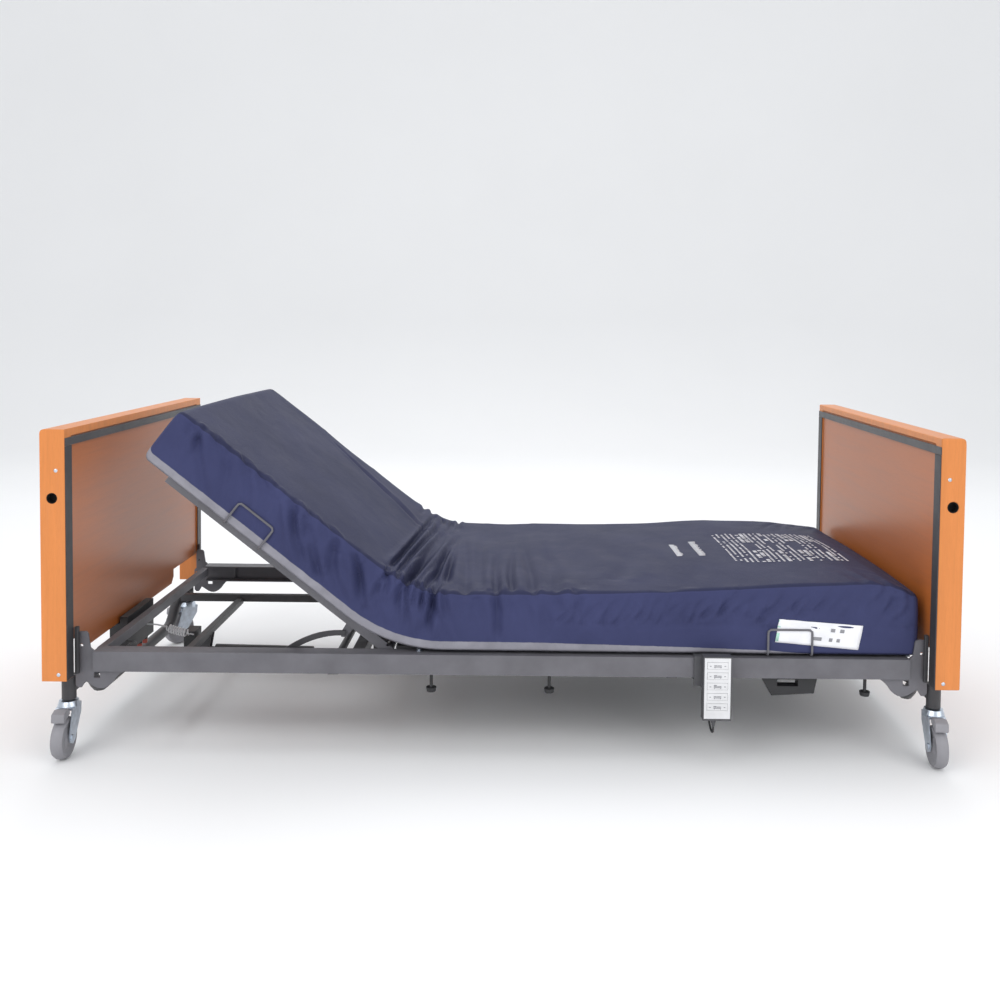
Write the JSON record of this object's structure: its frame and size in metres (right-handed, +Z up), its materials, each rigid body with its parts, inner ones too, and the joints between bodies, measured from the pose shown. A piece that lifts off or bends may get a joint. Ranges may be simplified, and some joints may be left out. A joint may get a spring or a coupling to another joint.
{
  "type": "adjustable hospital bed",
  "caption": "Adjustable care bed with wooden bed ends, raised backrest, sectioned mattress deck, parallel-arm lift frames on braked castors and a corded hand control.",
  "frame": {"origin": "floor centre, midway between the bed ends and between the posts' outer faces", "axes": "+X from the head end to the foot end, +Z up, -Y the side with the hand control"},
  "size_m": [2.2386, 1.0219, 0.84],
  "materials": {
    "grey_steel": "satin mid-grey powder coat",
    "dark_steel": "satin dark grey powder coat",
    "zinc": "bright zinc plate",
    "frame_wood": "satin laminate, warm beech",
    "board_wood": "semi-gloss laminate, deeper orange-brown",
    "mattress_cover": "coated stretch cover, navy",
    "black_plastic": "satin black",
    "castor_grey": "matt grey tread and pedal",
    "lead_white": "satin off-white",
    "key_white": "satin white"
  },
  "bodies": {
    "head_base": {"head_castor_frame": "dark_steel"},
    "head_arm": {"head_lift_frame": "dark_steel"},
    "head_link": {"head_lift_link": "dark_steel"},
    "deck": {"rail_near": "grey_steel", "rail_far": "grey_steel", "end_tube_head": "grey_steel", "end_tube_foot": "grey_steel", "lift_tube_head": "dark_steel", "lift_tube_foot": "dark_steel", "seat_section": "dark_steel", "mattress_seat": "mattress_cover", "head_end_frame": "frame_wood", "head_end_board": "board_wood", "foot_end_frame": "frame_wood", "foot_end_board": "board_wood", "control_box": "black_plastic", "control_lead": "lead_white", "handset": "dark_steel", "handset_cord": "black_plastic", "accessory_hanger": "dark_steel"},
    "foot_arm": {"foot_lift_frame": "dark_steel"},
    "foot_link": {"foot_lift_link": "dark_steel"},
    "foot_base": {"foot_castor_frame": "dark_steel"},
    "backrest": {"backrest_section": "grey_steel", "mattress_back": "mattress_cover", "retainer_back_near": "grey_steel"},
    "stay": {"backrest_stay": "dark_steel"},
    "thigh": {"thigh_section": "dark_steel", "mattress_thigh": "mattress_cover"},
    "leg": {"leg_section": "dark_steel", "mattress_leg": "mattress_cover", "retainer_foot_near": "grey_steel"},
    "head_lift_body": {"head_lift_actuator_body": "black_plastic"},
    "head_lift_rod": {"head_lift_actuator_rod": "zinc"},
    "foot_lift_body": {"foot_lift_actuator_body": "black_plastic"},
    "foot_lift_rod": {"foot_lift_actuator_rod": "zinc"},
    "back_body": {"back_actuator_body": "black_plastic"},
    "back_rod": {"back_actuator_rod": "zinc"},
    "knee_body": {"knee_actuator_body": "black_plastic"},
    "knee_rod": {"knee_actuator_rod": "zinc"},
    "head_near_fork": {"head_near_castor_fork": "zinc"},
    "head_near_wheel": {"head_near_castor_wheel": "castor_grey"},
    "head_near_pedal": {"head_near_castor_pedal": "castor_grey"},
    "head_far_fork": {"head_far_castor_fork": "zinc"},
    "head_far_wheel": {"head_far_castor_wheel": "castor_grey"},
    "head_far_pedal": {"head_far_castor_pedal": "castor_grey"},
    "foot_near_fork": {"foot_near_castor_fork": "zinc"},
    "foot_near_wheel": {"foot_near_castor_wheel": "castor_grey"},
    "foot_near_pedal": {"foot_near_castor_pedal": "castor_grey"},
    "foot_far_fork": {"foot_far_castor_fork": "zinc"},
    "foot_far_wheel": {"foot_far_castor_wheel": "castor_grey"},
    "foot_far_pedal": {"foot_far_castor_pedal": "castor_grey"},
    "key_1": {"handset_key_1": "key_white"},
    "key_2": {"handset_key_2": "key_white"},
    "key_3": {"handset_key_3": "key_white"},
    "key_4": {"handset_key_4": "key_white"},
    "key_5": {"handset_key_5": "key_white"},
    "screw_1": {"hand_screw_1": "black_plastic"},
    "screw_2": {"hand_screw_2": "black_plastic"},
    "screw_3": {"hand_screw_3": "black_plastic"}
  },
  "joints": [
    {"name": "lift", "type": "hinge", "parent": "head_base", "child": "head_arm", "pos_m": [-1.03, 0, 0.178], "axis": [0, -1, 0], "range_deg": [0, 40]},
    {"name": "head_arm_top", "type": "hinge", "parent": "head_arm", "child": "deck", "pos_m": [-0.43, 0, 0.178], "axis": [0, -1, 0], "range_deg": [-40, 0]},
    {"name": "foot_arm_top", "type": "hinge", "parent": "deck", "child": "foot_arm", "pos_m": [0.43, 0, 0.178], "axis": [0, 1, 0], "range_deg": [0, 40]},
    {"name": "foot_arm_base", "type": "hinge", "parent": "foot_arm", "child": "foot_base", "pos_m": [1.03, 0, 0.178], "axis": [0, 1, 0], "range_deg": [-40, 0]},
    {"name": "head_link_base", "type": "hinge", "parent": "head_base", "child": "head_link", "pos_m": [-1.03, -0.358, 0.2], "axis": [0, -1, 0], "range_deg": [0, 40]},
    {"name": "foot_link_top", "type": "hinge", "parent": "deck", "child": "foot_link", "pos_m": [0.43, -0.358, 0.2], "axis": [0, 1, 0], "range_deg": [0, 40]},
    {"name": "backrest_tilt", "type": "hinge", "parent": "deck", "child": "backrest", "pos_m": [-0.28, 0, 0.249], "axis": [0, 1, 0], "range_deg": [-38, 32]},
    {"name": "backrest_stay_pivot", "type": "hinge", "parent": "backrest", "child": "stay", "pos_m": [-0.39288, -0.397, 0.28643], "axis": [0, 1, 0], "range_deg": [-47, 56]},
    {"name": "thigh_tilt", "type": "hinge", "parent": "deck", "child": "thigh", "pos_m": [-0.06, 0, 0.249], "axis": [0, -1, 0], "range_deg": [0, 30]},
    {"name": "knee_bend", "type": "hinge", "parent": "thigh", "child": "leg", "pos_m": [0.29, 0, 0.249], "axis": [0, -1, 0], "range_deg": [-44, 0]},
    {"name": "head_lift_actuator_pivot", "type": "hinge", "parent": "head_arm", "child": "head_lift_body", "pos_m": [-0.858, -0.01, 0.115], "axis": [0, -1, 0], "range_deg": [-5, 1]},
    {"name": "head_lift_actuator_slide", "type": "slide", "parent": "head_lift_body", "child": "head_lift_rod", "axis": [0.9999, 0, -0.0141], "range_m": [-0.062, 0.002]},
    {"name": "foot_lift_actuator_pivot", "type": "hinge", "parent": "foot_arm", "child": "foot_lift_body", "pos_m": [0.858, -0.01, 0.115], "axis": [0, 1, 0], "range_deg": [-5, 1]},
    {"name": "foot_lift_actuator_slide", "type": "slide", "parent": "foot_lift_body", "child": "foot_lift_rod", "axis": [-0.9999, 0, -0.0141], "range_m": [-0.062, 0.002]},
    {"name": "back_actuator_pivot", "type": "hinge", "parent": "deck", "child": "back_body", "pos_m": [0.332, 0.06, 0.16], "axis": [0, 1, 0], "range_deg": [-1, 1]},
    {"name": "back_actuator_slide", "type": "slide", "parent": "back_body", "child": "back_rod", "axis": [-1, 0, -0.0014], "range_m": [-0.06, 0.05]},
    {"name": "knee_actuator_pivot", "type": "hinge", "parent": "deck", "child": "knee_body", "pos_m": [0.332, -0.09, 0.16], "axis": [0, -1, 0], "range_deg": [-1, 1]},
    {"name": "knee_actuator_slide", "type": "slide", "parent": "knee_body", "child": "knee_rod", "axis": [-1, 0, 0.005], "range_m": [-0.048, 0.002]},
    {"name": "head_near_swivel", "type": "hinge", "parent": "head_base", "child": "head_near_fork", "pos_m": [-1.056, -0.438, 0.125], "axis": [0, 0, 1], "continuous": true},
    {"name": "head_near_roll", "type": "hinge", "parent": "head_near_fork", "child": "head_near_wheel", "pos_m": [-1.05481, -0.47198, 0.05], "axis": [0.9994, 0.0349, 0], "continuous": true},
    {"name": "head_near_brake", "type": "hinge", "parent": "head_near_fork", "child": "head_near_pedal", "pos_m": [-1.05474, -0.47398, 0.113], "axis": [0.9994, 0.0349, 0], "range_deg": [-14, 4]},
    {"name": "head_far_swivel", "type": "hinge", "parent": "head_base", "child": "head_far_fork", "pos_m": [-1.056, 0.438, 0.125], "axis": [0, 0, 1], "continuous": true},
    {"name": "head_far_roll", "type": "hinge", "parent": "head_far_fork", "child": "head_far_wheel", "pos_m": [-1.07875, 0.41273, 0.05], "axis": [0.7431, -0.6691, 0], "continuous": true},
    {"name": "head_far_brake", "type": "hinge", "parent": "head_far_fork", "child": "head_far_pedal", "pos_m": [-1.08009, 0.41125, 0.113], "axis": [0.7431, -0.6691, 0], "range_deg": [-14, 4]},
    {"name": "foot_near_swivel", "type": "hinge", "parent": "foot_base", "child": "foot_near_fork", "pos_m": [1.056, -0.438, 0.125], "axis": [0, 0, 1], "continuous": true},
    {"name": "foot_near_roll", "type": "hinge", "parent": "foot_near_fork", "child": "foot_near_wheel", "pos_m": [1.05363, -0.47192, 0.05], "axis": [0.9976, -0.0698, 0], "continuous": true},
    {"name": "foot_near_brake", "type": "hinge", "parent": "foot_near_fork", "child": "foot_near_pedal", "pos_m": [1.05349, -0.47391, 0.113], "axis": [0.9976, -0.0698, 0], "range_deg": [-14, 4]},
    {"name": "foot_far_swivel", "type": "hinge", "parent": "foot_base", "child": "foot_far_fork", "pos_m": [1.056, 0.438, 0.125], "axis": [0, 0, 1], "continuous": true},
    {"name": "foot_far_roll", "type": "hinge", "parent": "foot_far_fork", "child": "foot_far_wheel", "pos_m": [1.07875, 0.41273, 0.05], "axis": [0.7431, 0.6691, 0], "continuous": true},
    {"name": "foot_far_brake", "type": "hinge", "parent": "foot_far_fork", "child": "foot_far_pedal", "pos_m": [1.08009, 0.41125, 0.113], "axis": [0.7431, 0.6691, 0], "range_deg": [-14, 4]},
    {"name": "key_1_rock", "type": "hinge", "parent": "deck", "child": "key_1", "pos_m": [0.5185, -0.484, 0.247], "axis": [0, 0, 1], "range_deg": [-3, 3], "stiffness_Nm_per_rad": 0.6},
    {"name": "key_2_rock", "type": "hinge", "parent": "deck", "child": "key_2", "pos_m": [0.5185, -0.484, 0.222], "axis": [0, 0, 1], "range_deg": [-3, 3], "stiffness_Nm_per_rad": 0.6},
    {"name": "key_3_rock", "type": "hinge", "parent": "deck", "child": "key_3", "pos_m": [0.5185, -0.484, 0.197], "axis": [0, 0, 1], "range_deg": [-3, 3], "stiffness_Nm_per_rad": 0.6},
    {"name": "key_4_rock", "type": "hinge", "parent": "deck", "child": "key_4", "pos_m": [0.5185, -0.484, 0.172], "axis": [0, 0, 1], "range_deg": [-3, 3], "stiffness_Nm_per_rad": 0.6},
    {"name": "key_5_rock", "type": "hinge", "parent": "deck", "child": "key_5", "pos_m": [0.5185, -0.484, 0.147], "axis": [0, 0, 1], "range_deg": [-3, 3], "stiffness_Nm_per_rad": 0.6},
    {"name": "hand_screw_1_turn", "type": "hinge", "parent": "deck", "child": "screw_1", "pos_m": [-0.172, -0.43, 0.17], "axis": [0, 0, 1], "range_deg": [-180, 180]},
    {"name": "hand_screw_2_turn", "type": "hinge", "parent": "deck", "child": "screw_2", "pos_m": [0.117, -0.43, 0.17], "axis": [0, 0, 1], "range_deg": [-180, 180]},
    {"name": "hand_screw_3_turn", "type": "hinge", "parent": "deck", "child": "screw_3", "pos_m": [0.89, -0.43, 0.17], "axis": [0, 0, 1], "range_deg": [-180, 180]}
  ],
  "couplings": [
    {"joint": "head_arm_top", "follows": "lift", "ratio": -1},
    {"joint": "foot_arm_top", "follows": "lift", "ratio": 1},
    {"joint": "foot_arm_base", "follows": "lift", "ratio": -1},
    {"joint": "head_link_base", "follows": "lift", "ratio": 1},
    {"joint": "foot_link_top", "follows": "lift", "ratio": 1},
    {"joint": "backrest_stay_pivot", "follows": "backrest_tilt", "ratio": -1.45},
    {"joint": "knee_bend", "follows": "thigh_tilt", "ratio": -1.45},
    {"joint": "head_lift_actuator_pivot", "follows": "lift", "ratio": -0.106},
    {"joint": "head_lift_actuator_slide", "follows": "lift", "m_per_rad": -0.0835},
    {"joint": "foot_lift_actuator_pivot", "follows": "lift", "ratio": -0.106},
    {"joint": "foot_lift_actuator_slide", "follows": "lift", "m_per_rad": -0.0835},
    {"joint": "back_actuator_pivot", "follows": "backrest_tilt", "ratio": -0.0057},
    {"joint": "back_actuator_slide", "follows": "backrest_tilt", "m_per_rad": 0.0869},
    {"joint": "knee_actuator_pivot", "follows": "thigh_tilt", "ratio": 0.01357},
    {"joint": "knee_actuator_slide", "follows": "thigh_tilt", "m_per_rad": -0.0891}
  ]
}
